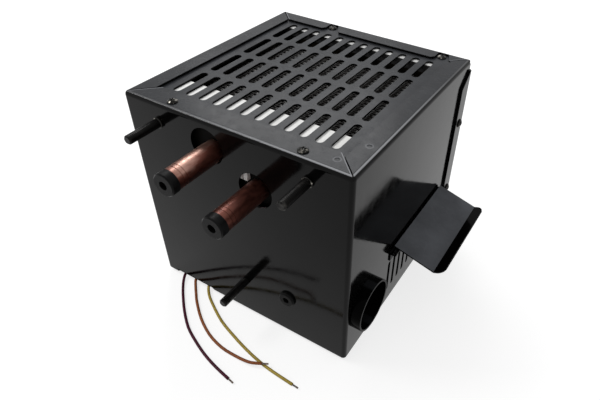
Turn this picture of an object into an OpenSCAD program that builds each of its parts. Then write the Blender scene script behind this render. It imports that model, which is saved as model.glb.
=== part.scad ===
// Hot-water cabin heater box for a caravan: slotted folded case, finned core,
// radial blower, duct collar and a swinging outlet flap.
// Millimetres. X along the front wall, +Y to the back, +Z up.
// The origin is the middle of the underside.

/* [Case] */
// Width of the case across its front wall
case_w = 175; // [170:1:190]
// Depth of the case from front wall to back wall
case_d = 180; // [178:1:190]
// Height of the case from the floor to the top flanges
case_h = 169; // [168:1:180]
// Thickness of the folded sheet
sheet_t = 1.5; // [1.2:0.1:1.6]
// Outer radius of the bends
bend_r = 3; // [2.5:0.5:4]
// Width of the inward flanges
flange_w = 14.5; // [14:0.5:16]
// Width of the front flange on top
front_flange_w = 17.6; // [14.5:0.1:18]
// Width of the open mitres between the flanges
mitre_gap = 0.9; // [0.4:0.1:1]
// Clearance where the closing strip laps the right wall
lap_gap = 0.3; // [0.2:0.1:0.5]

/* [Grille] */
// Columns of slots
slot_cols = 12; // [6:1:12]
// Rows of slots
slot_rows = 4; // [2:1:4]
// Width of a slot
slot_w = 5.8; // [4.5:0.1:7]
// Length of a slot
slot_l = 31; // [20:1:32]
// Distance between columns
slot_pitch_x = 11.28; // [10:0.02:12]
// Distance between rows
slot_pitch_y = 36.5; // [34:0.5:37]
// Thickness of the spring clips between plate and flange
clip_t = 0.4; // [0.3:0.1:0.5]

/* [Pipes] */
// Outer diameter of the copper pipes
pipe_od = 15; // [12:1:16]
// Wall of the copper pipes
pipe_wall = 1; // [0.7:0.1:1.2]
// Reach of the pipes in front of the front wall
pipe_out = 34.4; // [30:0.2:45]
// Hole in the front wall around each pipe
pipe_hole = 26; // [22:1:28]

/* [Studs] */
// Stud diameter
stud_d = 6.35; // [5:0.05:8]
// Reach of the studs in front of the front wall
stud_out = 26.6; // [20:0.2:32]

/* [Outlets] */
// Outer diameter of the duct collar
collar_od = 40; // [36:1:42]
// Wall of the duct collar
collar_wall = 1.5; // [1:0.1:2]
// Reach of the duct collar from the right wall
collar_out = 8; // [6:0.5:14]
// Slots behind the flap
vent_count = 10; // [4:1:10]
// Width of a slot behind the flap
vent_w = 4; // [3.5:0.1:5]
// Droop of the flap below the horizontal at rest
flap_droop = 16; // [8:1:24]
// Length of the flap from the wall to its fold
flap_l = 34; // [28:1:38]
// Width of the turned-up lip
lip_l = 8; // [5:0.5:10]
// Angle between the lip and the flap
lip_angle = 38; // [20:1:50]
// Radial clearance of the hinge pin
pin_clear = 0.05; // [0.03:0.01:0.08]

/* [Hidden] */
$fn = 48;

// half sizes and levels of the case
hw = case_w / 2;
hd = case_d / 2;
base_t = 1.5;
base_inset = 5;
wrap_h = case_h - base_t;
in_r = bend_r - sheet_t;
in_hw = hw - sheet_t;
in_hd = hd - sheet_t;
strip_x = hw + lap_gap + sheet_t;
strip_y0 = hd - 15.5;
strip_top = case_h - 8;
strip_cut = 11;
strip_foot = base_t + 4;

// grille plate
plate_top = case_h - sheet_t - clip_t;
plate_bot = plate_top - sheet_t;
plate_hw = hw - bend_r + 0.5;
plate_hd = hd - bend_r + 0.5;
slots_x = -0.45;
slots_y = 1.5;

// screws: radius of shank, head and their clearance in sheet
screw_r = 2;
screw_hole_r = 2.3;
nut_bore_r = 2.05;
head_r = 3.5;
head_h = 2;
front_screw_x = 50;
front_screw_y = -hd + 7;
rear_screws = [[-33.3, hd - 6.7], [hw - 22, hd - 7]];
strip_screw_y = hd - 8.2;
strip_screws = [117.5, 51.5];

// studs and pipes on the front wall
studs = [[-58, case_h - 14], [58, case_h - 14], [0, 37]];
stud_r = stud_d / 2;
neck_r = stud_r - 0.25;
foot_r = 3.9;
foot_h = 2;
pipe_in = [-15.5, case_h - 22];
pipe_up = [18.2, case_h - 38.9];
hole_in = [-18.6, case_h - 18.6];
hole_up = [17.7, case_h - 38.5];
pipe_r = pipe_od / 2;
bore_r = pipe_r - pipe_wall;
root_r = pipe_r - 0.25;
plug_gap = 0.3;
plug_r = 7.9;
plug_len = 6;
plug_stem = 12;
plug_clear = 0.08;

// heater core
core_x = -2;
tube_n = 11;
tube_pitch = (case_w - 54) / (tube_n - 1);
tube_w = 2.6;
core_y0 = -50.5;
core_y1 = hd - 22;
head_t = 1;
core_hw = (tube_n - 1) / 2 * tube_pitch + 7.5;
tank_z0 = case_h - 50;
tank_z1 = plate_bot - 6.6;
tube_z0 = tank_z0 + 3;
tube_h = tank_z1 - tank_z0 - 6;
tank_t = 1.2;
tank_y0 = -hd + 4.5;
tank_y1 = hd - 4.5;
fin_t = 0.5;
fin_pitch = 4.6;
side_t = 1;

// blower
fan_x = -2;
fan_y = 9;
deck_t = 1.5;
deck_z = tank_z0 - deck_t;
eye_r = 48;
rim_r = 52;
rim_z = deck_z - 28.5;
shaft_r = 2;
bearing_r = shaft_r + 0.05;
can_r = 22;
can_z1 = rim_z - 9;
can_z0 = can_z1 - 48;
cap_t = 3;
bracket_z = can_z0 - cap_t - 1.5;

// hinge and flap
leaf_t = 1;
knuckle_r = 2.2;
pin_r = 1;
hinge_x = hw + leaf_t + knuckle_r + 0.3;
hinge_z = 61.5;
flap_y0 = -24;
flap_y1 = 63;
leaf_y0 = flap_y0 - 4;
leaf_y1 = flap_y1 + 3;
flap_t = 1.2;
flap_gap = 0.3;
vent_z0 = 18;
vent_z1 = 50;
vent_pitch = 9.1;
vent_y0 = flap_y0 - 2.2;

// duct collar
collar_y = -hd + 24.5;
collar_z = 44.6;
collar_r = collar_od / 2;
collar_flange_r = collar_r + 4;

// front grommet
grommet_x = 38.5;
grommet_z = 40.8;
grommet_r = 6.5;
grommet_hole_r = 4.5;
grommet_bore_r = 2.5;

// notch for the leads and their routes, in round numbers
notch_x = -hw + 30.5;
notch_w = 40;
notch_z = 6.5;
edge_t = 1.2;
block_y = -hd + 15;
block_x = notch_x - 15.5;
wire_r = 1.15;
floor_z = 1.2;
leads_at = [notch_x + 57, 90 - hd, 0];
maroon_route = [[-69.5, -75, 6], [-69.5, -80, 5.4], [-69.5, -84.5, 3.8], [-69.3, -89, 3.1],
                [-66, -95, 1.8], [-60.5, -101.5, floor_z], [-54, -108, floor_z], [-43.5, -117.5, floor_z],
                [-30, -127.5, floor_z], [-16.5, -134, floor_z], [-2, -139.5, floor_z],
                [11.5, -143, floor_z], [25, -145.5, floor_z]];
orange_route = [[-57.6, -75, 6], [-57.6, -80, 5.4], [-57.6, -84.5, 3.8], [-57.6, -89, 3.1],
                [-53, -94.5, 1.8], [-47.5, -100, floor_z], [-41, -106, floor_z],
                [-27.5, -116, floor_z], [-12, -124, floor_z], [3.5, -128, floor_z],
                [17, -128.5, 1.4], [27.5, -128.5, 3], [33, -127.5, 3.9], [38.5, -124.5, 3.6]];
yellow_route = [[-44, -75, 6], [-44, -80, 5.4], [-44, -84.5, 3.8], [-43.6, -89, 3.1],
                [-38, -95, 1.8], [-29.5, -100.5, floor_z], [-12.5, -109.5, floor_z],
                [5, -115.5, floor_z], [21, -120, floor_z], [35.5, -123, floor_z],
                [48.5, -124.5, floor_z], [66, -125.5, floor_z]];
tip_r = 0.7;
tip_l = 5;

black = "#101012";
copper = "#a8643c";
steel = "#8c8c90";

// prism along Z with four round edges, centred in X and Y
module round_prism(w, d, h, r) {
  translate([-w / 2 + r, -d / 2, 0]) cube([w - 2 * r, d, h]);
  translate([-w / 2, -d / 2 + r, 0]) cube([w, d - 2 * r, h]);
  for (sx = [-1, 1], sy = [-1, 1])
    translate([sx * (w / 2 - r), sy * (d / 2 - r), 0]) cylinder(r = r, h = h);
}

// quarter of a bend in section, its centre at the origin
module bend_quarter(sx, sy) {
  intersection() {
    difference() {
      circle(r = bend_r);
      circle(r = in_r);
    }
    translate([sx > 0 ? 0 : -bend_r - 1, sy > 0 ? 0 : -bend_r - 1])
      square([bend_r + 1, bend_r + 1]);
  }
}

// section of one wall with its two flanges; x = 0 is the outer face
module wall_section(top_w) {
  translate([0, bend_r]) square([sheet_t, wrap_h - 2 * bend_r]);
  translate([bend_r, 0]) square([flange_w - bend_r, sheet_t]);
  translate([bend_r, wrap_h - sheet_t]) square([top_w - bend_r, sheet_t]);
  translate([bend_r, bend_r]) bend_quarter(-1, -1);
  translate([bend_r, wrap_h - bend_r]) bend_quarter(-1, 1);
}

// band that opens a mitre from a corner of the case inward, top and bottom
module mitre_band(w, shift) {
  for (z = [base_t - 1, case_h - bend_r])
    translate([-40, shift, z]) cube([80, w, bend_r + 1]);
}

// straight run of the wall along X, outer face on y = 0, flanges toward +Y,
// with both flange ends cut on the mitre of corners m0 and m1
module wall_run(x0, x1, m0, m1, top_w = flange_w) {
  difference() {
    translate([x0, 0, base_t]) rotate([90, 0, 90]) linear_extrude(x1 - x0)
      wall_section(top_w);
    translate([m0, 0, 0]) rotate([0, 0, 45]) mitre_band(60, -mitre_gap / 2);
    translate([m1, 0, 0]) rotate([0, 0, -45]) mitre_band(60, -mitre_gap / 2);
  }
}

// upright bend between two walls with its round ends
module corner_bend() {
  translate([0, 0, base_t]) intersection() {
    rotate_extrude() {
      translate([in_r, bend_r]) square([sheet_t, wrap_h - 2 * bend_r]);
      translate([0, bend_r]) bend_quarter(1, -1);
      translate([0, wrap_h - bend_r]) bend_quarter(1, 1);
    }
    translate([-bend_r - 1, -bend_r - 1, -1]) cube([bend_r + 1, bend_r + 1, wrap_h + 2]);
  }
}

// the whole folded sheet: front, left and back walls, the right wall tucked
// under the closing strip that the back wall carries
module folded_sheet() {
  back_x = strip_x - bend_r;
  translate([0, -hd, 0]) wall_run(-hw + bend_r, hw - bend_r, -hw, hw, front_flange_w);
  rotate([0, 0, -90]) translate([0, -hw, 0]) wall_run(-hd + bend_r, hd - bend_r, -hd, hd);
  rotate([0, 0, 180]) translate([0, -hd, 0]) wall_run(-back_x, hw - bend_r, -hw, hw);
  rotate([0, 0, 90]) translate([0, -hw, 0]) wall_run(-hd + bend_r, hd - bend_r, -hd, hd);
  translate([in_hw, hd - bend_r, base_t + bend_r])
    cube([sheet_t, in_r - lap_gap, wrap_h - 2 * bend_r]);
  translate([-hw + bend_r, -hd + bend_r, 0]) corner_bend();
  translate([hw - bend_r, -hd + bend_r, 0]) rotate([0, 0, 90]) corner_bend();
  translate([-hw + bend_r, hd - bend_r, 0]) rotate([0, 0, -90]) corner_bend();
  translate([back_x, hd - bend_r, strip_foot]) linear_extrude(strip_top - strip_foot)
    bend_quarter(1, 1);
  translate([strip_x - sheet_t, 0, 0]) rotate([90, 0, 90]) linear_extrude(sheet_t)
    polygon([[strip_y0, strip_foot], [hd - bend_r, strip_foot], [hd - bend_r, strip_top],
             [strip_y0, strip_top - strip_cut]]);
}

// upright slot with round ends through the right wall
module vent_slot(y) {
  translate([hw - 5, y - vent_w / 2, vent_z0 + vent_w / 2])
    cube([10, vent_w, vent_z1 - vent_z0 - vent_w]);
  for (z = [vent_z0 + vent_w / 2, vent_z1 - vent_w / 2])
    translate([hw - 5, y, z]) rotate([0, 90, 0]) cylinder(d = vent_w, h = 10);
}

// rear flange notch: straight left side, slanted right side
module rear_notch(x0, x1, x2) {
  translate([0, 0, case_h - bend_r - 1]) linear_extrude(bend_r + 2)
    polygon([[x0, hd - 2], [x0, hd - flange_w + 3], [x0 - 3, hd - flange_w - 1],
             [x2 + 3, hd - flange_w - 1], [x2, hd - flange_w + 3], [x1, hd - 2]]);
}

module case_wrap() {
  color(black) difference() {
    folded_sheet();
    for (p = [hole_in, hole_up])
      translate([p[0], -hd - 1, p[1]]) rotate([-90, 0, 0]) cylinder(d = pipe_hole, h = 5);
    for (p = studs)
      translate([p[0], -hd - 1, p[1]]) rotate([-90, 0, 0]) cylinder(r = neck_r + 0.05, h = 5);
    translate([grommet_x, -hd - 1, grommet_z]) rotate([-90, 0, 0])
      cylinder(r = grommet_hole_r + 0.05, h = 5);
    translate([notch_x - notch_w / 2, -hd - 1, 0]) cube([notch_w, flange_w + 2, notch_z]);
    for (i = [0 : vent_count - 1]) vent_slot(vent_y0 + i * vent_pitch);
    translate([hw - 5, collar_y, collar_z]) rotate([0, 90, 0])
      cylinder(r = collar_r - 0.15, h = 10);
    for (s = [-1, 1])
      translate([s * front_screw_x, front_screw_y, case_h - 3]) cylinder(r = screw_hole_r, h = 5);
    for (z = strip_screws)
      translate([hw - 5, strip_screw_y, z]) rotate([0, 90, 0]) cylinder(r = screw_hole_r, h = 10);
    for (sx = [-1, 1], sy = [-1, 1])
      translate([sx * (hw - 9.5), sy * (hd - 12), base_t - 1]) cylinder(r = 1.85, h = 4);
    rear_notch(-37, -30.5, -25);
    rear_notch(hw - 26, hw - 18.2, hw - 14.5);
    translate([hw - 8.3, -58, case_h - 0.25]) cylinder(r = 1.5, h = 1);
    translate([hw - 17, -hd + 10.5, case_h - 0.25]) cylinder(r = 1.5, h = 1);
  }
}

module base_plate() {
  color("#303034") difference() {
    round_prism(case_w - 2 * base_inset, case_d - 2 * base_inset, base_t, 3);
    for (sx = [-1, 1], sy = [-1, 1])
      translate([sx * (hw - 9.5), sy * (hd - 12), -0.01])
        cylinder(r1 = 3.45, r2 = 1.8, h = base_t + 0.02);
    for (sx = [-1, 1], y = [-15, 15])
      translate([fan_x + sx * 35, fan_y + y, -1]) cylinder(r = 1.55, h = 4);
  }
}

// flush screws that hold the base plate to the bottom flanges
module base_screws() {
  color(steel)
    for (sx = [-1, 1], sy = [-1, 1])
      translate([sx * (hw - 9.5), sy * (hd - 12), 0]) {
        cylinder(r1 = 3.4, r2 = 1.75, h = base_t);
        cylinder(r = 1.75, h = 7);
      }
}

// slot of length l and width w lying along Y
module long_slot(l, w) {
  translate([-w / 2, -l / 2 + w / 2]) square([w, l - w]);
  for (s = [-1, 1]) translate([0, s * (l - w) / 2]) circle(d = w);
}

module grille_plate() {
  color(black) translate([0, 0, plate_bot]) difference() {
    linear_extrude(sheet_t) difference() {
      square([2 * plate_hw, 2 * plate_hd], center = true);
      for (i = [0 : slot_cols - 1], j = [0 : slot_rows - 1])
        translate([slots_x + (i - (slot_cols - 1) / 2) * slot_pitch_x,
                   slots_y + (j - (slot_rows - 1) / 2) * slot_pitch_y])
          long_slot(slot_l, slot_w);
      for (s = [-1, 1]) {
        translate([s * front_screw_x - 7, -plate_hd - 1]) square([14, 2.5]);
        translate([s * front_screw_x, front_screw_y]) circle(r = screw_hole_r);
      }
      for (p = rear_screws) translate(p) circle(r = screw_hole_r);
    }
  }
}

// pan head screw standing on z = 0, shank downward
module pan_screw(l) {
  difference() {
    intersection() {
      cylinder(r = head_r, h = head_h);
      translate([0, 0, head_h - 5.5]) sphere(r = 5.5);
    }
    for (a = [0, 90]) rotate([0, 0, a + 20])
      translate([-2, -0.45, head_h - 1]) cube([4, 0.9, 2]);
  }
  translate([0, 0, -l]) cylinder(r = screw_r, h = l + 0.1);
}

module case_screws() {
  color("#18181a") {
    for (s = [-1, 1])
      translate([s * front_screw_x, front_screw_y, case_h]) pan_screw(8);
    for (p = rear_screws) translate([p[0], p[1], plate_top]) pan_screw(7);
    for (z = strip_screws)
      translate([strip_x, strip_screw_y, z]) rotate([0, 90, 0]) pan_screw(7.3);
  }
}

// spring clip with a nut barrel, pushed over the front edge of the plate
module clip_nuts() {
  color(steel)
    for (s = [-1, 1]) translate([s * front_screw_x, 0, 0]) difference() {
      union() {
        translate([-6, -plate_hd + 1, plate_top]) cube([12, 8.2, clip_t]);
        translate([-6, -plate_hd + 1, plate_bot - 0.6]) cube([12, 8.2, 0.6]);
        translate([-6, -plate_hd + 1, plate_bot - 0.6])
          cube([12, 0.5, sheet_t + clip_t + 0.6]);
        translate([0, front_screw_y, plate_bot - 3]) cylinder(r = 3.4, h = 2.5);
      }
      translate([0, front_screw_y, plate_bot - 5]) cylinder(r = nut_bore_r, h = 10);
    }
}

// brackets on the back wall under the plate
module rear_lugs() {
  color(black)
    for (p = rear_screws) difference() {
      union() {
        translate([p[0] - 7, hd - 14, plate_bot - 1.5]) cube([14, 12.2, 1.5]);
        translate([p[0] - 7, in_hd - 1.5, plate_bot - 15]) cube([14, 1.5, 14.2]);
      }
      translate([p[0], p[1], plate_bot - 5]) cylinder(r = nut_bore_r, h = 10);
    }
}

module mounting_studs() {
  color(steel)
    for (i = [0 : 2]) translate([studs[i][0], -hd, studs[i][1]]) rotate([90, 0, 0]) {
      neck = i < 2 ? foot_h + 0.3 : 0.3;
      translate([0, 0, -sheet_t - 1.6]) cylinder(r = 5.5, h = 1.6);
      translate([0, 0, -sheet_t - 1]) cylinder(r = neck_r, h = sheet_t + 1 + neck);
      translate([0, 0, neck]) cylinder(r = stud_r, h = stud_out - 0.8 - neck);
      translate([0, 0, stud_out - 0.8]) cylinder(r1 = stud_r, r2 = stud_r - 0.8, h = 0.8);
    }
}

// round shoulders at the foot of the two upper studs
module stud_collars() {
  color(steel)
    for (i = [0, 1]) translate([studs[i][0], -hd, studs[i][1]]) rotate([90, 0, 0])
      difference() {
        union() {
          cylinder(r = foot_r, h = foot_h - 0.5);
          translate([0, 0, foot_h - 0.5]) cylinder(r1 = foot_r, r2 = foot_r - 0.5, h = 0.5);
        }
        translate([0, 0, -1]) cylinder(r = neck_r + 0.05, h = foot_h + 2);
      }
}

// copper pipe from the tank to its open end, with two ring marks
module pipe(p) {
  color(copper) translate([p[0], tank_y0 + tank_t, p[1]]) rotate([90, 0, 0]) difference() {
    union() {
      cylinder(r = root_r, h = hd + tank_y0 + tank_t + 0.5);
      translate([0, 0, hd + tank_y0 + tank_t + 0.5]) cylinder(r = pipe_r, h = pipe_out - 0.5);
    }
    translate([0, 0, -1]) cylinder(r = bore_r, h = hd + pipe_out + 10);
    for (m = [27.5, 30.5]) translate([0, 0, hd + tank_y0 + tank_t + m]) difference() {
      cylinder(r = pipe_r + 1, h = 0.8);
      translate([0, 0, -1]) cylinder(r = pipe_r - 0.25, h = 3);
    }
  }
}

module inlet_pipe() { pipe(pipe_in); }

module outlet_pipe() { pipe(pipe_up); }

// transport plug: thick flange with a finger recess, stem inside the pipe
module plug(p) {
  color("#141416") translate([p[0], -hd - pipe_out, p[1]]) rotate([90, 0, 0]) difference() {
    union() {
      translate([0, 0, plug_gap]) cylinder(r = plug_r, h = plug_len - 0.8);
      translate([0, 0, plug_gap + plug_len - 0.8]) cylinder(r1 = plug_r, r2 = plug_r - 0.8, h = 0.8);
      translate([0, 0, -plug_stem]) cylinder(r = bore_r - plug_clear, h = plug_stem + 1);
    }
    translate([0, 0, plug_gap + plug_len - 4]) cylinder(r = 3, h = 5);
    translate([0, 0, -plug_stem - 1]) cylinder(r = bore_r - 2, h = plug_stem - 1);
  }
}

module inlet_plug() { plug(pipe_in); }

module outlet_plug() { plug(pipe_up); }

// tank of the core, open toward the tubes
module tank(y0, y1, open_at_back) {
  difference() {
    translate([core_x - core_hw, y0, tank_z0])
      cube([2 * core_hw, y1 - y0, tank_z1 - tank_z0]);
    translate([core_x - core_hw + tank_t, open_at_back ? y0 + tank_t : y0 - 1,
               tank_z0 + tank_t])
      cube([2 * (core_hw - tank_t), y1 - y0 - tank_t + 1, tank_z1 - tank_z0 - 2 * tank_t]);
  }
}

module front_tank() {
  color("#7c6a3c") difference() {
    tank(tank_y0, core_y0, true);
    for (p = [pipe_in, pipe_up])
      translate([p[0], tank_y0 - 1, p[1]]) rotate([-90, 0, 0])
        cylinder(r = root_r + 0.05, h = tank_t + 2);
  }
}

module rear_tank() {
  color("#7c6a3c") tank(core_y1, tank_y1, false);
}

module tube_bars(extra) {
  for (i = [0 : tube_n - 1])
    translate([core_x + (i - (tube_n - 1) / 2) * tube_pitch - tube_w / 2, core_y0 - extra,
               tube_z0])
      cube([tube_w, core_y1 - core_y0 + 2 * extra, tube_h]);
}

module header_plates() {
  color("#7c6a3c") difference() {
    for (y = [core_y0, core_y1 - head_t])
      translate([core_x - core_hw, y, tank_z0]) cube([2 * core_hw, head_t, tank_z1 - tank_z0]);
    tube_bars(1);
  }
}

module core_tubes() {
  color("#9a9288") tube_bars(0);
}

// folded fin strip of width w seen from above: a ribbon that turns at every crest
module fin_strip(w) {
  span = core_y1 - core_y0 - 2 * head_t - fin_t;
  n = 2 * floor(span / fin_pitch);
  step = span / n;
  y0 = core_y0 + head_t + fin_t / 2;
  x = w / 2;
  d = fin_t * w / (2 * step);
  h = fin_t / 2;
  left_edge = [for (i = [0 : n]) let (y = y0 + i * step)
    each (i == 0 ? [[-x, y + h]] : i == n ? [[-x, y - h]]
          : i % 2 == 1 ? [[x - d, y]] : [[-x, y - h], [-x, y + h]])];
  right_edge = [for (i = [n : -1 : 0]) let (y = y0 + i * step)
    each (i == 0 ? [[-x, y - h]] : i == n ? [[-x, y + h]]
          : i % 2 == 1 ? [[x, y + h], [x, y - h]] : [[-x + d, y]])];
  polygon(concat(left_edge, right_edge));
}

module core_fins() {
  gap = tube_pitch - tube_w;
  edge = (tube_n - 1) / 2 * tube_pitch + tube_w / 2;
  side = core_hw - side_t - edge;
  color("#5a4636") translate([core_x, 0, tube_z0 + 1]) linear_extrude(tube_h - 2) {
    for (i = [0 : tube_n - 2]) translate([(i - (tube_n - 2) / 2) * tube_pitch, 0])
      fin_strip(gap);
    for (s = [-1, 1]) translate([s * (edge + side / 2), 0]) fin_strip(side);
  }
}

module core_side_plates() {
  color("#6a6a60")
    for (s = [-1, 1])
      translate([core_x + (s > 0 ? core_hw - side_t : -core_hw), core_y0 + head_t, tank_z0])
        cube([side_t, core_y1 - core_y0 - 2 * head_t, tank_z1 - tank_z0]);
}

module foam_seal_front() {
  color("#e8e8e4") translate([core_x - core_hw, -hd + 13, tank_z1])
    cube([2 * core_hw, core_y0 + hd - 13.5, plate_bot - tank_z1]);
}

module foam_seal_rear() {
  color("#e8e8e4") translate([core_x - core_hw, core_y1 - 1, tank_z1])
    cube([2 * core_hw, 8.5, plate_bot - tank_z1]);
}

// foam pads between the tank and the front wall beside the lower pipe
module pipe_foam() {
  color("#e8e8e4")
    for (x = [[-6, 13], [8, 3]])
      translate([x[0], -in_hd, pipe_up[1] + 4.5]) cube([x[1], in_hd + tank_y0, 10]);
}

// deck between core and blower, with the inlet eye of the blower
module fan_deck() {
  color("#2a2a2c") difference() {
    union() {
      translate([-in_hw, -hd + 4.5, deck_z]) cube([2 * in_hw, case_d - 9, deck_t]);
      for (s = [-1, 1]) translate([s > 0 ? in_hw - 1.5 : -in_hw, -hd + 14, deck_z - 10])
        cube([1.5, case_d - 28, 11]);
      translate([fan_x, fan_y, deck_z - 3.5]) cylinder(r = eye_r, h = 4);
    }
    translate([fan_x, fan_y, deck_z - 5]) cylinder(r = eye_r - 1.5, h = 10);
    translate([in_hw - 6, hd - 13, deck_z - 12]) cube([10, 20, 20]);
    translate([-40, -hd, deck_z - 1]) cube([80, 6.5, 4]);
  }
}

// radial impeller: back disc, straight raked blades, top rim
module fan_rotor() {
  color("#c8c8c0") translate([fan_x, fan_y, rim_z]) difference() {
    union() {
      cylinder(r = rim_r, h = 1.5);
      translate([0, 0, -2.5]) cylinder(r = 6, h = 11);
      for (i = [0 : 19]) rotate([0, 0, i * 18]) translate([38, 0, 1]) rotate([0, 0, 35])
        translate([0, -0.5, 0]) cube([15.5, 1, 21.5]);
      translate([0, 0, 22]) difference() {
        cylinder(r = rim_r, h = 1.5);
        translate([0, 0, -1]) cylinder(r = rim_r - 7, h = 4);
      }
    }
    translate([0, 0, -5]) cylinder(r = shaft_r, h = 20);
  }
}

module rotor_nut() {
  color(steel) translate([fan_x, fan_y, rim_z + 8.5]) difference() {
    cylinder(d = 8, h = 3, $fn = 6);
    translate([0, 0, -1]) cylinder(r = shaft_r, h = 5);
  }
}

module motor_shaft() {
  color(steel) translate([fan_x, fan_y, can_z0 - cap_t - 1])
    cylinder(r = shaft_r, h = rim_z + 13 - can_z0 + cap_t + 1);
}

module motor_armature() {
  color("#7a4a2a") translate([fan_x, fan_y, can_z0 + 8]) difference() {
    cylinder(r = 14, h = can_z1 - can_z0 - 16);
    translate([0, 0, -1]) cylinder(r = shaft_r + 0.02, h = 60);
  }
}

module fan_motor() {
  color("#9a9a9c") translate([fan_x, fan_y, can_z0]) difference() {
    cylinder(r = can_r, h = can_z1 - can_z0);
    translate([0, 0, -1]) cylinder(r = can_r - 2, h = can_z1 - can_z0 + 2);
  }
}

module motor_end_caps() {
  color("#3a3a3c") translate([fan_x, fan_y, 0]) difference() {
    union() {
      translate([0, 0, can_z0 - cap_t]) cylinder(r = can_r, h = cap_t);
      translate([0, 0, can_z1]) cylinder(r = can_r, h = cap_t);
      translate([0, 0, can_z1]) cylinder(r = 5, h = cap_t + 1.5);
      translate([0, 0, can_z0 - cap_t - 1]) cylinder(r = 5, h = cap_t);
    }
    translate([0, 0, can_z0 - cap_t - 2]) cylinder(r = bearing_r, h = 60);
    for (s = [-1, 1])
      translate([s * (can_r - 8), 0, can_z0 - cap_t - 1]) cylinder(r = 1.55, h = cap_t + 2);
  }
}

// hat-shaped stand of the motor
module motor_bracket() {
  w = can_r + 7;
  d = can_r + 3;
  color("#8c8c90") translate([fan_x, fan_y, 0]) difference() {
    union() {
      translate([-w, -d, bracket_z]) cube([2 * w, 2 * d, 1.5]);
      for (s = [-1, 1]) {
        translate([s > 0 ? w - 1.5 : -w, -d, base_t]) cube([1.5, 2 * d, bracket_z - base_t + 1]);
        translate([s > 0 ? w - 1.5 : -w - 12.5, -d, base_t]) cube([14, 2 * d, 1.5]);
      }
    }
    translate([0, 0, bracket_z - 1]) cylinder(r = 6, h = 4);
    for (s = [-1, 1]) {
      translate([s * (can_r - 8), 0, bracket_z - 1]) cylinder(r = 1.7, h = 4);
      for (y = [-15, 15])
        translate([s * (w + 6), y, base_t - 1]) cylinder(r = 1.7, h = 4);
    }
  }
}

module small_screw(l) {
  cylinder(r = 2.8, h = 1.8);
  translate([0, 0, -l]) cylinder(r = 1.5, h = l + 0.1);
}

module motor_screws() {
  color(steel) translate([fan_x, fan_y, 0]) {
    for (s = [-1, 1]) {
      translate([s * (can_r - 8), 0, bracket_z]) mirror([0, 0, 1]) small_screw(4);
      for (y = [-15, 15]) translate([s * (can_r + 13), y, base_t + 1.5]) small_screw(2.8);
    }
  }
}

module speed_resistor() {
  color("#d8d4c8") translate([-hw + 27.5, 4, 18]) rotate([-90, 0, 0]) difference() {
    cylinder(r = 5, h = 52);
    for (i = [1 : 7]) translate([0, 0, i * 6.5 - 1]) difference() {
      cylinder(r = 6, h = 2);
      translate([0, 0, -1]) cylinder(r = 4.2, h = 4);
    }
  }
}

module resistor_bracket() {
  color("#8c8c90") {
    translate([-hw + 21.5, 3, base_t]) cube([12, 54, 1]);
    for (y = [3, 56]) translate([-hw + 21.5, y, base_t]) cube([12, 1, 22]);
  }
}

module terminal_block() {
  color("#dcd8cc") difference() {
    translate([block_x, block_y, base_t]) cube([34.5, 12, 11]);
    for (x = [3, 14.9, 28.5]) translate([block_x + x, block_y + 6, base_t + 8])
      cylinder(r = 2.2, h = 5);
    for (x = [8.4, 21.1]) translate([block_x + x, block_y - 1, base_t + 7])
      cube([1.2, 14, 6]);
  }
}

module outlet_spigot() {
  color(black) translate([in_hw - 1.2, collar_y, collar_z]) rotate([0, 90, 0]) difference() {
    union() {
      difference() {
        cylinder(r = collar_flange_r, h = 1.2);
        translate([-50, -collar_flange_r - 50, -1]) cube([100, 54.3, 4]);
      }
      cylinder(r = collar_r - 0.25, h = sheet_t + 1.5);
      translate([0, 0, sheet_t + 1.5]) cylinder(r = collar_r, h = collar_out - 0.3);
    }
    translate([0, 0, -1]) cylinder(r = collar_r - collar_wall, h = 40);
  }
}

// flap and lip as one folded sheet around the hinge knuckle
module outlet_flap() {
  fold = flap_l - 3.3;
  k = knuckle_r + 0.3;
  w = flap_y1 - flap_y0;
  ca = cos(lip_angle);
  sa = sin(lip_angle);
  r = 6;
  color(black) translate([hinge_x, flap_y0, hinge_z]) rotate([0, flap_droop, 0])
    difference() {
      union() {
        rotate([-90, 0, 0]) cylinder(r = knuckle_r, h = w);
        translate([-1.2, 0, 1]) cube([2.4, w, k - 1 + flap_t / 2]);
        translate([0, w, 0]) rotate([90, 0, 0]) linear_extrude(w)
          polygon([[-3, k], [fold + flap_t * tan(lip_angle / 2), k],
                   [fold + lip_l * ca + flap_t * sa, k + flap_t + lip_l * sa - flap_t * ca],
                   [fold + lip_l * ca, k + flap_t + lip_l * sa], [fold, k + flap_t],
                   [-3, k + flap_t]]);
      }
      translate([0, -1, 0]) rotate([-90, 0, 0]) cylinder(r = pin_r + pin_clear, h = w + 2);
      translate([fold, 0, k + flap_t]) rotate([0, -lip_angle, 0])
        for (side = [0, 1]) translate([lip_l - r, side == 0 ? r : w - r, -3])
          linear_extrude(6) difference() {
            translate([0, side == 0 ? -r - 1 : 0]) square([r + 1, r + 1]);
            circle(r = r);
          }
    }
}

module hinge_pin() {
  color(steel) translate([hinge_x, leaf_y0, hinge_z]) rotate([-90, 0, 0])
    cylinder(r = pin_r, h = leaf_y1 - leaf_y0);
}

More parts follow.
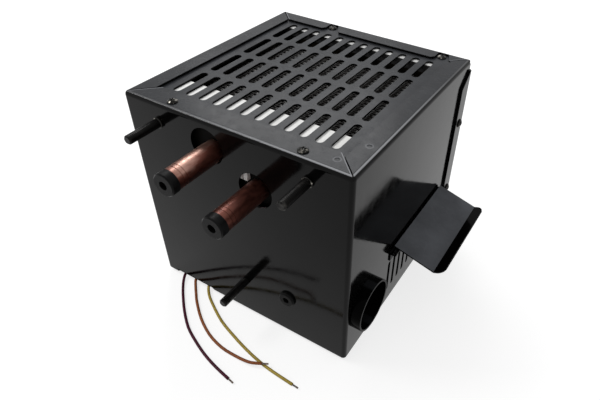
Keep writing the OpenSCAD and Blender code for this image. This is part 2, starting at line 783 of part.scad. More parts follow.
// fixed hinge leaf with a knuckle at each end
module hinge_leaf() {
  color(black) difference() {
    union() {
      translate([hw, leaf_y0, hinge_z - 8.5]) cube([leaf_t, leaf_y1 - leaf_y0, 8]);
      for (y = [[leaf_y0, flap_y0 - flap_gap], [flap_y1 + flap_gap, leaf_y1]]) {
        translate([hinge_x, y[0], hinge_z]) rotate([-90, 0, 0])
          cylinder(r = knuckle_r, h = y[1] - y[0]);
        translate([hw, y[0], hinge_z - knuckle_r])
          cube([hinge_x - hw, y[1] - y[0], knuckle_r]);
      }
    }
    translate([hinge_x, leaf_y0 - 1, hinge_z]) rotate([-90, 0, 0])
      cylinder(r = pin_r, h = leaf_y1 - leaf_y0 + 2);
    for (y = [-14, 20, 54]) translate([hw - 1, y, hinge_z - 5.5]) rotate([0, 90, 0])
      cylinder(r = 1.2, h = 5);
  }
}

module hinge_rivets() {
  color(black)
    for (y = [-14, 20, 54]) translate([hw, y, hinge_z - 5.5]) rotate([0, 90, 0]) {
      cylinder(r = 1.2, h = leaf_t);
      translate([0, 0, leaf_t]) intersection() {
        cylinder(r = 2, h = 0.8);
        translate([0, 0, -2.2]) sphere(r = 3);
      }
    }
}

module front_grommet() {
  color("#0c0c0c") translate([grommet_x, -hd, grommet_z]) rotate([90, 0, 0]) rotate_extrude()
    polygon([[grommet_bore_r, -sheet_t - 1.5], [grommet_r - 0.5, -sheet_t - 1.5],
             [grommet_r, -sheet_t - 1], [grommet_r, -sheet_t], [grommet_hole_r, -sheet_t],
             [grommet_hole_r, 0], [grommet_r, 0], [grommet_r, 1.3], [grommet_r - 1.2, 2.5],
             [grommet_bore_r, 2.5]]);
}

// edging of the notch for the leads, flush outside and lipped inside
module edge_frame(grow, y0, y1) {
  translate([0, y1, 0]) rotate([90, 0, 0]) linear_extrude(y1 - y0) difference() {
    translate([notch_x - notch_w / 2 - grow, base_t])
      square([notch_w + 2 * grow, notch_z - base_t + grow]);
    translate([notch_x - notch_w / 2 + edge_t, base_t - 1])
      square([notch_w - 2 * edge_t, notch_z - base_t - edge_t + 1]);
  }
}

module wire_grommet() {
  color("#0c0c0c") difference() {
    union() {
      edge_frame(0, -hd, -in_hd + 0.8);
      edge_frame(1, -in_hd, -in_hd + 0.8);
    }
    translate([notch_x - 40, -in_hd - 0.01, base_t - 1]) cube([80, 5, sheet_t + 1.3 + bend_r]);
    translate([notch_x - 40, -hd - 5, base_t - 1]) cube([80, 5 + sheet_t, 1 + bend_r]);
  }
}

// route points made smooth: k points per stretch
function blend_at(a, b, c, d, t) =
  0.5 * (2 * b + (c - a) * t + (2 * a - 5 * b + 4 * c - d) * t * t
         + (3 * b - a - 3 * c + d) * t * t * t);
function smooth_route(r, k) = concat(
  [for (i = [0 : len(r) - 2], j = [0 : k - 1])
    blend_at(r[max(i - 1, 0)], r[i], r[i + 1], r[min(i + 2, len(r) - 1)], j / k)],
  [r[len(r) - 1]]);
function unit(v) = v / norm(v);
function heading(p, i) =
  i == 0 ? [0, -1, 0] : unit(p[min(i + 1, len(p) - 1)] - p[i - 1]);
function ring(c, t, r, n) =
  let (u = unit(cross(t, [0, 0, 1])), v = cross(u, t))
  [for (k = [0 : n - 1]) c + r * (cos(360 * k / n) * u + sin(360 * k / n) * v)];

// tube along smooth points
module sweep_tube(p, r, n) {
  m = len(p);
  pts = [for (i = [0 : m - 1]) each ring(p[i], heading(p, i), r, n)];
  sides = [for (i = [0 : m - 2], k = [0 : n - 1])
    let (a = i * n + k, b = i * n + (k + 1) % n)
    each [[a, b, b + n], [a, b + n, a + n]]];
  polyhedron(points = pts,
             faces = concat(sides, [[for (k = [n - 1 : -1 : 0]) k]],
                            [[for (k = [0 : n - 1]) (m - 1) * n + k]]));
}

module lead(route) {
  translate(leads_at) sweep_tube(smooth_route(route, 2), wire_r, 8);
}

module wire_maroon() { color("#4a1420") lead(maroon_route); }

module wire_orange() { color("#a8541c") lead(orange_route); }

module wire_yellow() { color("#b8a428") lead(yellow_route); }

// bare stranded ends
module bare_tip(route) {
  n = len(route);
  p = smooth_route(route, 2);
  d = heading(p, len(p) - 1);
  translate(leads_at + route[n - 1]) rotate([0, 90 - asin(d[2]), atan2(d[1], d[0])])
    cylinder(r = tip_r, h = tip_l);
}

module wire_tips() {
  color("#3c3430") {
    bare_tip(maroon_route);
    bare_tip(orange_route);
    bare_tip(yellow_route);
  }
}

case_wrap();
base_plate();
base_screws();
grille_plate();
case_screws();
clip_nuts();
rear_lugs();
mounting_studs();
stud_collars();
inlet_pipe();
outlet_pipe();
inlet_plug();
outlet_plug();
front_tank();
rear_tank();
header_plates();
core_tubes();
core_fins();
core_side_plates();
foam_seal_front();
foam_seal_rear();
pipe_foam();
fan_deck();
fan_rotor();
rotor_nut();
motor_shaft();
motor_armature();
fan_motor();
motor_end_caps();
motor_bracket();
motor_screws();
speed_resistor();
resistor_bracket();
terminal_block();
outlet_spigot();
outlet_flap();
hinge_pin();
hinge_leaf();
hinge_rivets();
front_grommet();
wire_grommet();
wire_maroon();
wire_orange();
wire_yellow();
wire_tips();
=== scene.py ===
import math
import bmesh
import bpy
from mathutils import Vector, Matrix


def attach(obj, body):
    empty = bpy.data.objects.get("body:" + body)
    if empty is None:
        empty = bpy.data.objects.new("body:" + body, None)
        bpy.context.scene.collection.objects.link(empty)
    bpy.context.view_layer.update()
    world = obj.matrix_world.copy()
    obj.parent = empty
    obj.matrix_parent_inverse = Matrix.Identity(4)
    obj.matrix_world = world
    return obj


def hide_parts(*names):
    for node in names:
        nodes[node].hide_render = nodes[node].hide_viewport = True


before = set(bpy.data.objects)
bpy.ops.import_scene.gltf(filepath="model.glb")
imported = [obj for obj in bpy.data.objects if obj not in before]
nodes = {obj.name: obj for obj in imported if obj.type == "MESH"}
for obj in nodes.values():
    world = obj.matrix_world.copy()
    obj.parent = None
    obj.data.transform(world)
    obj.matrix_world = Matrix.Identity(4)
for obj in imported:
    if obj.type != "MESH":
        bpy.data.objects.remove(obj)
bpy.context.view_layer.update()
MM = 0.001
UP = Vector((0, 0, 1))

# the case as in the source: half width, half depth, height and fold radius
CASE_HW = 87.5 * MM
CASE_HD = 90 * MM
CASE_H = 169 * MM
FOLD_R = 3 * MM

# the photo's frame in pixels, and the camera fitted in it to the corners of the case
PHOTO_W = 600
PHOTO_H = 400
FOCAL_PX = 524.4
AXIS_PX = (348.13, 204.0)
AZIMUTH = math.radians(28.75)
ELEVATION = math.radians(39.84)
ROLL = math.radians(2.68)
CAMERA_AT = (0.19183, -0.28570, 0.33663)
SENSOR_MM = 36


def link(ob):
    bpy.context.collection.objects.link(ob)
    return ob


def place_camera():
    back = Vector((math.sin(AZIMUTH) * math.cos(ELEVATION),
                   -math.cos(AZIMUTH) * math.cos(ELEVATION), math.sin(ELEVATION)))
    level_side = (-back).cross(UP).normalized()
    level_up = level_side.cross(-back)
    side = math.cos(ROLL) * level_side + math.sin(ROLL) * level_up
    up = -math.sin(ROLL) * level_side + math.cos(ROLL) * level_up
    data = bpy.data.cameras.new("camera")
    data.sensor_fit = "HORIZONTAL"
    data.sensor_width = SENSOR_MM
    data.lens = FOCAL_PX / PHOTO_W * SENSOR_MM
    data.shift_x = (PHOTO_W / 2 - AXIS_PX[0]) / PHOTO_W
    data.shift_y = (AXIS_PX[1] - PHOTO_H / 2) / PHOTO_W
    data.clip_start = 0.01
    camera = link(bpy.data.objects.new("camera", data))
    turn = Matrix((side, up, back)).transposed()
    camera.matrix_world = Matrix.Translation(CAMERA_AT) @ turn.to_4x4()
    bpy.context.scene.camera = camera


place_camera()


def node_tree(name):
    # a new material, with its nodes, its links and its shader
    m = bpy.data.materials.new(name)
    m.use_nodes = True
    n = m.node_tree.nodes
    return m, n, m.node_tree.links, n["Principled BSDF"]


def coords(n):
    return n.new("ShaderNodeTexCoord").outputs["Object"]


def feed(links, socket, value):
    # another node's output is linked, and a number or colour is set
    if isinstance(value, bpy.types.NodeSocket):
        links.new(value, socket)
    else:
        socket.default_value = value


def noise(n, links, src, scale, detail, rough):
    k = n.new("ShaderNodeTexNoise")
    k.inputs["Scale"].default_value = scale
    k.inputs["Detail"].default_value = detail
    k.inputs["Roughness"].default_value = rough
    links.new(src, k.inputs["Vector"])
    return k.outputs["Fac"]


def ramp(n, links, src, stops):
    k = n.new("ShaderNodeValToRGB")
    e = k.color_ramp.elements
    while len(e) < len(stops):
        e.new(0.5)
    for i, (pos, col) in enumerate(stops):
        e[i].position = pos
        e[i].color = (*col, 1)
    links.new(src, k.inputs["Fac"])
    return k.outputs["Color"]


def grey_ramp(n, links, src, stops):
    return ramp(n, links, src, [(p, (v, v, v)) for p, v in stops])


def times(factor, *colour):
    return [v * factor for v in colour]


def bump(n, links, height, strength, distance, before=None):
    k = n.new("ShaderNodeBump")
    k.inputs["Strength"].default_value = strength
    k.inputs["Distance"].default_value = distance
    links.new(height, k.inputs["Height"])
    if before is not None:
        links.new(before, k.inputs["Normal"])
    return k.outputs["Normal"]


def math_node(n, links, kind, *values):
    k = n.new("ShaderNodeMath")
    k.operation = kind
    for i, v in enumerate(values):
        feed(links, k.inputs[i], v)
    return k.outputs[0]


def vector_node(n, links, kind, src, other):
    # DOT_PRODUCT or DISTANCE of src and a fixed vector
    k = n.new("ShaderNodeVectorMath")
    k.operation = kind
    k.inputs[1].default_value = other
    links.new(src, k.inputs[0])
    return k.outputs["Value"]


def span(n, links, src, low, high, at_low=0.0, at_high=1.0):
    k = n.new("ShaderNodeMapRange")
    for key, v in (("From Min", low), ("From Max", high), ("To Min", at_low), ("To Max", at_high)):
        k.inputs[key].default_value = v
    links.new(src, k.inputs["Value"])
    return k.outputs["Result"]


def mix(n, links, factor, a, b):
    k = n.new("ShaderNodeMix")
    k.data_type = "RGBA"
    links.new(factor, k.inputs["Factor"])
    feed(links, k.inputs["A"], a)
    feed(links, k.inputs["B"], b)
    return k.outputs["Result"]


def axes(n, links, src):
    split = n.new("ShaderNodeSeparateXYZ")
    links.new(src, split.inputs["Vector"])
    return split.outputs


# painted highlights on the case's top: distance of the light line from a mitre's middle, its half
# width, and the two small dents beside the front right corner with the painted highlight ring
# round them
MITRE_LINE_OFF = 1.02 * MM
MITRE_LINE_HALF = 0.4 * MM
DENTS = ((79.2, -58, 169), (70.5, -79.5, 169))
DENT_RING_R = 2.2 * MM
DENT_RING_HALF = 0.5 * MM
DENT_RING_SHARE = 0.35

# the folds' painted highlight is full up to the first distance from the front right corner, and
# the last share of it from the second on
FOLD_SHINE_NEAR = 40 * MM
FOLD_SHINE_FAR = 140 * MM
FOLD_SHINE_FAR_SHARE = 0.3


def painted_highlight_marks(n, links, c, top, paint):
    # painted highlight: a light line along the front and rear flanges' side of each open mitre
    at = axes(n, links, c)
    x = math_node(n, links, "ABSOLUTE", at["X"])
    y = math_node(n, links, "ABSOLUTE", at["Y"])
    off = math_node(n, links, "SUBTRACT", y, x)
    mark_highlight = math_node(n, links, "COMPARE", off, CASE_HD - CASE_HW + MITRE_LINE_OFF, MITRE_LINE_HALF)
    # and a faint painted highlight ring round the dents
    for dent in DENTS:
        away = vector_node(n, links, "DISTANCE", c, times(MM, *dent))
        ring = math_node(n, links, "COMPARE", away, DENT_RING_R, DENT_RING_HALF)
        ring = math_node(n, links, "MULTIPLY", ring, DENT_RING_SHARE)
        mark_highlight = math_node(n, links, "MAXIMUM", mark_highlight, ring)
    mark_highlight = math_node(n, links, "MULTIPLY", mark_highlight, top)
    return mix(n, links, mark_highlight, paint, (0.20, 0.205, 0.22, 1))


def painted_fold_highlight(n, links, c, along, paint):
    # painted highlight: the folds at the top are paler, most of all near the front right corner
    fold = grey_ramp(n, links, along, [(0.80, 0), (0.88, 1), (0.965, 1), (0.99, 0)])
    away = vector_node(n, links, "DISTANCE", c, (CASE_HW, -CASE_HD, CASE_H))
    fade = span(n, links, away, FOLD_SHINE_NEAR, FOLD_SHINE_FAR, 1.0, FOLD_SHINE_FAR_SHARE)
    fold = math_node(n, links, "MULTIPLY", fold, fade)
    return mix(n, links, fold, paint, (0.34, 0.345, 0.36, 1))


def gloss_black(name, dust_and_sheen, spec, top_spec=0.056, wall=0.6, face=(0, 0, 1), fold_highlight=False):
    # stoved gloss enamel: slight orange peel, and a paler colour on what looks along face, dust
    # and painted sheen
    m, n, links, bsdf = node_tree(name)
    tex = n.new("ShaderNodeTexCoord")
    c = tex.outputs["Object"]
    along = vector_node(n, links, "DOT_PRODUCT", tex.outputs["Normal"], face)
    top = span(n, links, along, 0.975, 0.992)
    clean = ramp(n, links, noise(n, links, c, 22, 4, 0.55),
                 [(0.3, times(wall, 0.0028, 0.0027, 0.0027)),
                  (0.75, times(wall, 0.0052, 0.005, 0.005))])
    dust_and_sheen_colour = ramp(n, links, noise(n, links, c, 30, 6, 0.62),
                [(0.3, times(dust_and_sheen, 0.0218, 0.0228, 0.0252)),
                 (0.72, times(dust_and_sheen, 0.0380, 0.0400, 0.0442))])
    paint = mix(n, links, top, clean, dust_and_sheen_colour)
    if fold_highlight:
        paint = painted_fold_highlight(n, links, c, along, paint)
        paint = painted_highlight_marks(n, links, c, top, paint)
    links.new(paint, bsdf.inputs["Base Color"])
    fine = noise(n, links, c, 160, 5, 0.6)
    wall_rough = grey_ramp(n, links, fine, [(0.35, 0.08), (0.62, 0.12), (0.8, 0.2)])
    top_rough = grey_ramp(n, links, fine, [(0.35, 0.22), (0.62, 0.29), (0.8, 0.4)])
    links.new(mix(n, links, top, wall_rough, top_rough), bsdf.inputs["Roughness"])
    peel = bump(n, links, noise(n, links, c, 900, 2, 0.5), 0.05, 0.2 * MM)
    wave = bump(n, links, noise(n, links, c, 45, 2, 0.5), 0.03, 2 * MM, peel)
    links.new(wave, bsdf.inputs["Normal"])
    # the wall's value stays on the socket, for an export that doesn't follow the link
    bsdf.inputs["Specular IOR Level"].default_value = spec
    links.new(span(n, links, top, 0, 1, spec, top_spec), bsdf.inputs["Specular IOR Level"])
    return m


def speckled(name, scale, detail, colours, roughs, strength, depth, metallic=0.0, spec=None):
    # one noise drives colour, roughness and bump
    m, n, links, bsdf = node_tree(name)
    f = noise(n, links, coords(n), scale, detail, 0.6)
    links.new(ramp(n, links, f, colours), bsdf.inputs["Base Color"])
    links.new(grey_ramp(n, links, f, roughs), bsdf.inputs["Roughness"])
    links.new(bump(n, links, f, strength, depth), bsdf.inputs["Normal"])
    bsdf.inputs["Metallic"].default_value = metallic
    if spec is not None:
        bsdf.inputs["Specular IOR Level"].default_value = spec
    return m


def metal(name, c0, c1, r0, r1, scale=60, metallic=1.0):
    return speckled(name, scale, 5, [(0.3, c0), (0.7, c1)], [(0.3, r0), (0.75, r1)],
                    0.3, 0.1 * MM, metallic)


def plastic(name, c0, c1, r0, r1, scale, spec=0.2):
    return speckled(name, scale, 4, [(0.35, c0), (0.7, c1)], [(0.3, r0), (0.75, r1)],
                    0.15, 0.2 * MM, 0.0, spec)


def insulation(name, c0, c1):
    return speckled(name, 140, 4, [(0.3, c0), (0.7, c1)], [(0.3, 0.3), (0.7, 0.45)],
                    0.1, 0.2 * MM, 0.0, 0.12)


def worn_and_glinting_black(name, scale):
    # black zinc with pale spots: rubbed through, and painted glints
    return speckled(name, scale, 4, [(0.3, (0.006, 0.006, 0.006)), (0.58, (0.026, 0.025, 0.023)),
                                     (0.69, (0.36, 0.34, 0.30))],
                    [(0.3, 0.2), (0.7, 0.32)], 0.35, 0.2 * MM, 1.0)


TUBE_PITCH = 12.1 * MM
TUBE_SHIFT = 2 * MM


def fin_strip():
    # dark strip with painted highlight stripes along the flat tubes, where its crests meet them
    m, n, links, bsdf = node_tree("dark_fin_painted_highlight")
    c = coords(n)
    f = noise(n, links, c, 260, 4, 0.6)
    turn = math_node(n, links, "MULTIPLY_ADD", axes(n, links, c)["X"],
                     1 / TUBE_PITCH, TUBE_SHIFT / TUBE_PITCH)
    near = math_node(n, links, "PINGPONG", turn, 0.5)
    highlight_band = span(n, links, near, 0.40, 0.33)
    dark = ramp(n, links, f, [(0.3, (0.006, 0.005, 0.0045)), (0.7, (0.020, 0.016, 0.013))])
    tube_highlight = ramp(n, links, f, [(0.3, (0.15, 0.15, 0.148)), (0.7, (0.27, 0.27, 0.265))])
    links.new(mix(n, links, highlight_band, dark, tube_highlight), bsdf.inputs["Base Color"])
    bsdf.inputs["Metallic"].default_value = 0.3
    bsdf.inputs["Roughness"].default_value = 0.5
    return m


# twenty threads to the inch; the wave texture repeats every 2 pi / 20 of its scaled length
THREAD_PITCH = 1.27 * MM


def threaded_steel():
    # black zinc with a fine rolled thread along Y
    m, n, links, bsdf = node_tree("black_zinc_thread")
    c = coords(n)
    w = n.new("ShaderNodeTexWave")
    w.wave_type = "BANDS"
    w.bands_direction = "Y"
    w.inputs["Scale"].default_value = 2 * math.pi / (20 * THREAD_PITCH)
    links.new(c, w.inputs["Vector"])
    f = noise(n, links, c, 90, 4, 0.6)
    # the palest stop paints small highlights on the thread
    links.new(ramp(n, links, f, [(0.3, (0.002, 0.002, 0.0021)), (0.6, (0.006, 0.0057, 0.0054)),
                                 (0.78, (0.05, 0.048, 0.045))]), bsdf.inputs["Base Color"])
    bsdf.inputs["Metallic"].default_value = 0.9
    links.new(grey_ramp(n, links, f, [(0.3, 0.25), (0.75, 0.42)]), bsdf.inputs["Roughness"])
    links.new(bump(n, links, w.outputs["Fac"], 0.45, 0.3 * MM), bsdf.inputs["Normal"])
    return m


def tarnished_copper():
    # streaks along the pipes, under a thin gloss
    m, n, links, bsdf = node_tree("tarnished_copper")
    c = coords(n)
    mp = n.new("ShaderNodeMapping")
    mp.inputs["Scale"].default_value = (1, 0.3, 1)
    links.new(c, mp.inputs["Vector"])
    big = noise(n, links, mp.outputs["Vector"], 70, 4, 0.6)
    small = noise(n, links, c, 420, 4, 0.6)
    links.new(ramp(n, links, big, [(0.3, (0.050, 0.014, 0.010)), (0.5, (0.150, 0.050, 0.035)),
                                   (0.7, (0.45, 0.28, 0.225))]), bsdf.inputs["Base Color"])
    bsdf.inputs["Metallic"].default_value = 0.95
    bsdf.inputs["Coat Weight"].default_value = 0.2
    bsdf.inputs["Coat Roughness"].default_value = 0.24
    links.new(grey_ramp(n, links, small, [(0.3, 0.28), (0.7, 0.5)]), bsdf.inputs["Roughness"])
    links.new(bump(n, links, small, 0.25, 0.2 * MM), bsdf.inputs["Normal"])
    return m


def foam(name, shade=1.0, front_shaded=False):
    m, n, links, bsdf = node_tree(name)
    tex = n.new("ShaderNodeTexCoord")
    c = tex.outputs["Object"]
    cells = n.new("ShaderNodeTexVoronoi")
    cells.inputs["Scale"].default_value = 900
    links.new(c, cells.inputs["Vector"])
    white = ramp(n, links, noise(n, links, c, 60, 3, 0.5),
                 [(0.3, times(shade, 0.74, 0.74, 0.725)), (0.7, times(shade, 0.90, 0.90, 0.885))])
    if front_shaded:
        # painted shade: dark down its front face
        front = vector_node(n, links, "DOT_PRODUCT", tex.outputs["Normal"], (0, -1, 0))
        white = mix(n, links, front, white, (0.02, 0.02, 0.02, 1))
    links.new(white, bsdf.inputs["Base Color"])
    bsdf.inputs["Roughness"].default_value = 0.9
    links.new(bump(n, links, cells.outputs["Distance"], 0.5, 0.4 * MM), bsdf.inputs["Normal"])
    return m


# leads: centrelines as in the source, in millimetres
floor_z = 1.2
block_y = -75
maroon_route = [(-69.5, block_y, 6), (-69.5, -80, 5.4), (-69.5, -84.5, 3.8), (-69.3, -89, 3.1),
                (-66, -95, 1.8), (-60.5, -101.5, floor_z), (-54, -108, floor_z),
                (-43.5, -117.5, floor_z), (-30, -127.5, floor_z), (-16.5, -134, floor_z),
                (-2, -139.5, floor_z), (11.5, -143, floor_z), (25, -145.5, floor_z)]
orange_route = [(-57.6, block_y, 6), (-57.6, -80, 5.4), (-57.6, -84.5, 3.8), (-57.6, -89, 3.1),
                (-53, -94.5, 1.8), (-47.5, -100, floor_z), (-41, -106, floor_z),
                (-27.5, -116, floor_z), (-12, -124, floor_z), (3.5, -128, floor_z),
                (17, -128.5, 1.4), (27.5, -128.5, 3), (33, -127.5, 3.9), (38.5, -124.5, 3.6)]
yellow_route = [(-44, block_y, 6), (-44, -80, 5.4), (-44, -84.5, 3.8), (-43.6, -89, 3.1),
                (-38, -95, 1.8), (-29.5, -100.5, floor_z), (-12.5, -109.5, floor_z),
                (5, -115.5, floor_z), (21, -120, floor_z), (35.5, -123, floor_z),
                (48.5, -124.5, floor_z), (66, -125.5, floor_z)]
LEAD_DIAMETER = 2.3 * MM
LEAD_SIDES = 16
LEAD_STEPS = 3

# bare strands at a lead's end: one in the middle and the others twisted round it, by the angle
# TWIST in radians and spreading by the share FLARE over their length
STRANDS_ROUND = 6
STRAND_R = 0.2 * MM
STRAND_SIDES = 6
STRAND_OFF = 0.42 * MM
STRAND_STEPS = 8
BARE_LENGTH = 4.9 * MM
TWIST = 2.2
FLARE = 0.25
# steps of the route that give the direction of its end
END_STEPS = 8


def blend_at(a, b, c, d, t):
    # point at t on the spline from b to c
    return 0.5 * (2 * b + (c - a) * t + (2 * a - 5 * b + 4 * c - d) * t * t
                  + (3 * b - a - 3 * c + d) * t * t * t)


def smooth_route(route, steps):
    p = [Vector(q) * MM for q in route]
    out = []
    for i in range(len(p) - 1):
        before = p[max(i - 1, 0)]
        after = p[min(i + 2, len(p) - 1)]
        for j in range(steps):
            out.append(blend_at(before, p[i], p[i + 1], after, j / steps))
    out.append(p[-1])
    return out


def ring_at(bm, centre, radius, sides, u, v):
    turns = [2 * math.pi * k / sides for k in range(sides)]
    return [bm.verts.new(centre + radius * (math.cos(a) * u + math.sin(a) * v)) for a in turns]


def skin(bm, rings):
    # faces from ring to ring, and a cap on both ends
    sides = len(rings[0])
    for a, b in zip(rings, rings[1:]):
        for k in range(sides):
            bm.faces.new((a[k], a[(k + 1) % sides], b[(k + 1) % sides], b[k]))
    bm.faces.new(rings[0][::-1])
    bm.faces.new(rings[-1])


def mesh_object(name, bm, mat, closed=True):
    if closed:
        bmesh.ops.recalc_face_normals(bm, faces=bm.faces)
    me = bpy.data.meshes.new(name)
    bm.to_mesh(me)
    bm.free()
    me.materials.append(mat)
    return link(bpy.data.objects.new(name, me))


def lead_tube(name, pts, mat):
    bm = bmesh.new()
    rings = []
    for i, p in enumerate(pts):
        ahead = (pts[min(i + 1, len(pts) - 1)] - pts[max(i - 1, 0)]).normalized()
        if i == 0:
            ahead = Vector((0, -1, 0))
        u = ahead.cross(UP).normalized()
        rings.append(ring_at(bm, p, LEAD_DIAMETER / 2, LEAD_SIDES, u, u.cross(ahead)))
    skin(bm, rings)
    for f in bm.faces:
        f.smooth = len(f.verts) == 4
    return mesh_object(name, bm, mat)


def strands(name, route, mat):
    pts = smooth_route(route, END_STEPS)
    ahead = (pts[-1] - pts[-2]).normalized()
    u = ahead.cross(UP).normalized()
    v = u.cross(ahead)
    bm = bmesh.new()
    for s in range(1 + STRANDS_ROUND):
        off = 0.0 if s == 0 else STRAND_OFF
        rings = []
        for i in range(STRAND_STEPS + 1):
            t = i / STRAND_STEPS
            a = 2 * math.pi * s / STRANDS_ROUND + TWIST * t
            aside = off * (1 + FLARE * t) * (math.cos(a) * u + math.sin(a) * v)
            centre = pts[-1] + t * BARE_LENGTH * ahead + aside
            rings.append(ring_at(bm, centre, STRAND_R, STRAND_SIDES, u, v))
        skin(bm, rings)
    return mesh_object(name, bm, mat)


tip_mat = metal("tinned_strands", (0.10, 0.08, 0.07), (0.32, 0.26, 0.22), 0.35, 0.6, 300)
for name, route, c0, c1 in (
        ("maroon", maroon_route, (0.045, 0.004, 0.014), (0.080, 0.008, 0.025)),
        ("orange", orange_route, (0.24, 0.075, 0.026), (0.34, 0.115, 0.042)),
        ("yellow", yellow_route, (0.38, 0.275, 0.05), (0.52, 0.39, 0.085))):
    pts = smooth_route(route, LEAD_STEPS)
    lead = lead_tube("lead_" + name, pts, insulation("insulation_" + name, c0, c1))
    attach(lead, "case")
    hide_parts("wire_" + name)
    tip = strands("strands_" + name, route, tip_mat)
    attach(tip, "case")
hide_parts("wire_tips")

# materials of the CAD nodes
# the share of dust and painted sheen differs by part, painting light and shade on their upper
# faces
enamel = gloss_black("gloss_black_enamel", 0.85, 0.092)
case_enamel = gloss_black("gloss_black_case", 1.05, 0.094, fold_highlight=True)
plate_enamel = gloss_black("gloss_black_grille", 1.25, 0.06, top_spec=0.042)
# painted light: the flap's upper face is made much paler, for the light that falls on it
# the flap's upper face leans out by 16 degrees
lit_flap_enamel = gloss_black("gloss_black_flap_painted_sheen", 3.6, 0.02, face=(0.2756, 0, 0.9613))
# painted shade: a darker copy of the enamel with little dust, for the outlet collar and the hinge
# leaf under the flap
shaded_enamel = gloss_black("gloss_black_painted_shade", 0.3, 0.015, wall=0.3)
# painted shade: the hinge pin is near black and matte, for the shade under the flap
pin_black = plastic("pin_black_painted_shade", (0.003, 0.003, 0.003), (0.006, 0.006, 0.006), 0.5, 0.7, 200)
# painted shade: the tanks' brass is made near black, for the shade inside the case
tank_black = plastic("tank_brass_painted_shade", (0.0015, 0.0014, 0.0012), (0.004, 0.0036, 0.003),
                     0.5, 0.7, 120, 0.03)
# painted shade for narrow gaps: the slits at the corners and the hinge's gap
gap_shade = plastic("painted_gap_shade", (0.0015, 0.0015, 0.0015), (0.002, 0.002, 0.002), 0.8, 0.9, 50)
thread = threaded_steel()
black_zinc = worn_and_glinting_black("black_zinc", 420)
zinc = metal("bright_zinc", (0.50, 0.50, 0.50), (0.68, 0.67, 0.64), 0.25, 0.42, 180)
copper = tarnished_copper()
moulded = plastic("moulded_black", (0.0025, 0.0025, 0.0026), (0.0055, 0.0055, 0.0058),
                  0.3, 0.5, 260, 0.07)
rubber = plastic("black_rubber", (0.0025, 0.0025, 0.0025), (0.006, 0.006, 0.006),
                 0.35, 0.55, 240, 0.06)
# painted shade: the brass plates of the core are made near black, for the shade inside the case
brass = metal("plate_brass_painted_shade", (0.014, 0.012, 0.008), (0.035, 0.029, 0.018), 0.45, 0.65, 60)
tube_metal = metal("tinned_tube", (0.50, 0.49, 0.46), (0.72, 0.70, 0.66), 0.3, 0.5, 90, 0.35)
fin_metal = fin_strip()
winding = metal("wound_steel", (0.035, 0.025, 0.020), (0.09, 0.065, 0.05), 0.4, 0.6, 120)
white_foam = foam("white_foam")
# painted shade: the rear foam is darker all over and dark on its front face
shaded_foam = foam("shaded_foam", 0.7, True)
dark_sheet = metal("dark_sheet", (0.03, 0.03, 0.032), (0.06, 0.06, 0.062), 0.4, 0.6, 50)
ivory = plastic("ivory_plastic", (0.42, 0.40, 0.34), (0.52, 0.50, 0.44), 0.4, 0.6, 80)
looks = {
    "case_wrap": case_enamel, "base_plate": enamel, "grille_plate": plate_enamel,
    "rear_lugs": enamel, "outlet_spigot": shaded_enamel, "outlet_flap": lit_flap_enamel,
    "hinge_leaf": shaded_enamel, "hinge_pin": pin_black, "hinge_rivets": black_zinc,
    "case_screws": black_zinc, "mounting_studs": thread, "stud_collars": black_zinc,
    "base_screws": zinc, "clip_nuts": zinc, "inlet_pipe": copper, "outlet_pipe": copper,
    "inlet_plug": moulded, "outlet_plug": moulded, "front_tank": tank_black,
    "rear_tank": tank_black, "header_plates": brass, "core_side_plates": brass,
    "core_tubes": tube_metal, "core_fins": fin_metal, "foam_seal_front": white_foam,
    "foam_seal_rear": shaded_foam, "pipe_foam": white_foam, "fan_deck": dark_sheet,
    "fan_rotor": ivory, "rotor_nut": zinc, "motor_shaft": zinc, "motor_armature": winding,
    "fan_motor": zinc, "motor_end_caps": moulded, "motor_bracket": dark_sheet,
    "motor_screws": zinc, "speed_resistor": ivory, "resistor_bracket": dark_sheet,
    "terminal_block": ivory, "front_grommet": rubber, "wire_grommet": rubber,
}
for name, mat in looks.items():
    o = nodes[name]
    o.data.materials.clear()
    o.data.materials.append(mat)

# painted shade for the slits of the open mitres: height over the fold's surface, half width at the
# top, how far down the round corner they reach in degrees, and by how much they narrow
SLIT_OVER = 0.03 * MM
SLIT_HALF = 0.45 * MM
SLIT_SWEEP = 68
SLIT_STEPS = 12
SLIT_TAPER = 0.5


def corner_slit(name, sx, sy):
    # painted shade: a dark strip that carries the open mitre of the flanges on over the round
    # corner of the fold
    bm = bmesh.new()
    mid = Vector((sx * (CASE_HW - FOLD_R), sy * (CASE_HD - FOLD_R), CASE_H - FOLD_R))
    outward = Vector((sx, sy, 0)).normalized()
    across = outward.cross(UP)
    rows = []
    for k in range(SLIT_STEPS + 1):
        a = math.radians(90 - SLIT_SWEEP * k / SLIT_STEPS)
        w = SLIT_HALF * (1 - SLIT_TAPER * k / SLIT_STEPS)
        q = mid + (FOLD_R + SLIT_OVER) * (math.cos(a) * outward + math.sin(a) * UP)
        rows.append((bm.verts.new(q - w * across), bm.verts.new(q + w * across)))
    for a, b in zip(rows, rows[1:]):
        bm.faces.new((a[0], a[1], b[1], b[0]))
    return mesh_object(name, bm, gap_shade, closed=False)


for tag, sx, sy in (("front_left", -1, -1), ("front_right", 1, -1), ("rear_left", -1, 1)):
    ob = corner_slit("corner_slit_" + tag, sx, sy)
    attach(ob, "case")

# painted shade in the hinge's gap, in millimetres: the knuckle's axis, the shade's radius about
# it, the corners that it shares with the leaf, its two ends, and its round side's angles in
# degrees
HINGE_AXIS = (91.0, 61.5)
SHADE_R = 2.25
LEAF_CORNERS = [(88.48, 59.9), (88.48, 60.97), (88.72, 61.2)]
SHADE_ENDS = (-23.9, 62.9)
SHADE_ANGLES = range(188, 224, 5)


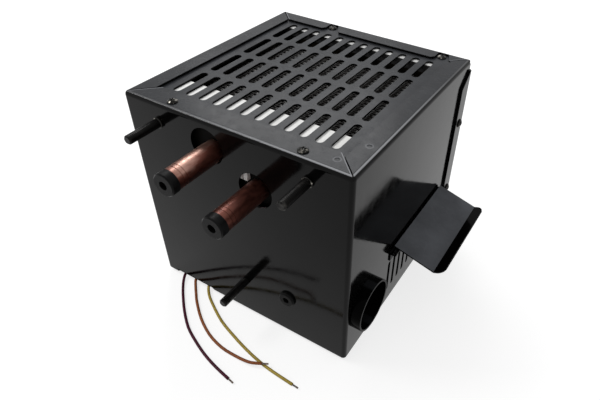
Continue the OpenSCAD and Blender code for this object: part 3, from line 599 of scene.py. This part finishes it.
def hinge_gap_shade():
    # painted shade: a dark piece in the narrow gap between the hinge leaf and the flap's knuckle
    profile = list(LEAF_CORNERS)
    for degrees in SHADE_ANGLES:
        a = math.radians(degrees)
        profile.append((HINGE_AXIS[0] + SHADE_R * math.cos(a),
                        HINGE_AXIS[1] + SHADE_R * math.sin(a)))
    bm = bmesh.new()
    skin(bm, [[bm.verts.new((x * MM, y * MM, z * MM)) for x, z in profile] for y in SHADE_ENDS])
    return mesh_object("hinge_gap_shade", bm, gap_shade)


hinge_shade = hinge_gap_shade()
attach(hinge_shade, "case")


def seen_ray(n, links):
    # 1 for rays from the camera and for those mirrored or let through on their way
    path = n.new("ShaderNodeLightPath").outputs
    seen = math_node(n, links, "MAXIMUM", path["Is Camera Ray"], path["Is Glossy Ray"])
    return math_node(n, links, "MAXIMUM", seen, path["Is Transmission Ray"])


def mix_shader(n, links, factor, first, second):
    k = n.new("ShaderNodeMixShader")
    for socket, src in zip(k.inputs, (factor, first, second)):
        links.new(src, socket)
    return k.outputs[0]


# how pale the floor is where it is seen, and how strongly the world lights other things
FLOOR_GLOW = 0.75
WORLD_LIGHT = 0.5


def floor_white():
    # pale to the camera and in reflections, grey with its shadow to other rays
    m, n, links, bsdf = node_tree("floor_white")
    bsdf.inputs["Base Color"].default_value = (0.4, 0.4, 0.4, 1)
    bsdf.inputs["Roughness"].default_value = 0.9
    bsdf.inputs["Specular IOR Level"].default_value = 0.0
    bsdf.inputs["Emission Color"].default_value = (1, 1, 1, 1)
    glow = math_node(n, links, "MULTIPLY", seen_ray(n, links), FLOOR_GLOW)
    links.new(glow, bsdf.inputs["Emission Strength"])
    # clear from below, so that the underside can be looked at
    below = n.new("ShaderNodeNewGeometry").outputs["Backfacing"]
    clear = n.new("ShaderNodeBsdfTransparent").outputs[0]
    both = mix_shader(n, links, below, bsdf.outputs["BSDF"], clear)
    links.new(both, n["Material Output"].inputs["Surface"])
    return m


# half the floor's width, and its level just under the case's foot
FLOOR_HALF = 4
FLOOR_LEVEL = -0.2 * MM


def add_floor():
    me = bpy.data.meshes.new("floor")
    corners = ((-FLOOR_HALF, -FLOOR_HALF), (FLOOR_HALF, -FLOOR_HALF),
               (FLOOR_HALF, FLOOR_HALF), (-FLOOR_HALF, FLOOR_HALF))
    me.from_pydata([(x, y, FLOOR_LEVEL) for x, y in corners], [], [(0, 1, 2, 3)])
    me.materials.append(floor_white())
    return link(bpy.data.objects.new("floor", me))


add_floor()


def background(n, strength):
    k = n.new("ShaderNodeBackground")
    k.inputs["Color"].default_value = (1, 1, 1, 1)
    k.inputs["Strength"].default_value = strength
    return k.outputs[0]


def add_world():
    # plain white where it is seen, dimmer as a light
    world = bpy.data.worlds.new("world")
    bpy.context.scene.world = world
    world.use_nodes = True
    n = world.node_tree.nodes
    links = world.node_tree.links
    n.clear()
    out = n.new("ShaderNodeOutputWorld")
    dim = background(n, WORLD_LIGHT)
    full = background(n, 1.0)
    links.new(mix_shader(n, links, seen_ray(n, links), dim, full), out.inputs["Surface"])


add_world()


def area(name, loc, target, size, power):
    d = bpy.data.lights.new(name, "AREA")
    d.shape = "RECTANGLE"
    d.size = size[0]
    d.size_y = size[1]
    d.energy = power
    o = link(bpy.data.objects.new(name, d))
    o.location = loc
    o.rotation_euler = (Vector(target) - Vector(loc)).to_track_quat("-Z", "Y").to_euler()


area("back", (-0.45, 0.60, 0.82), (0, 0, 0.12), (0.5, 0.45), 4.8)
area("key", (-0.75, -0.35, 1.05), (0, 0, 0.08), (0.36, 0.36), 4.5)

bpy.context.scene.view_settings.view_transform = "Standard"
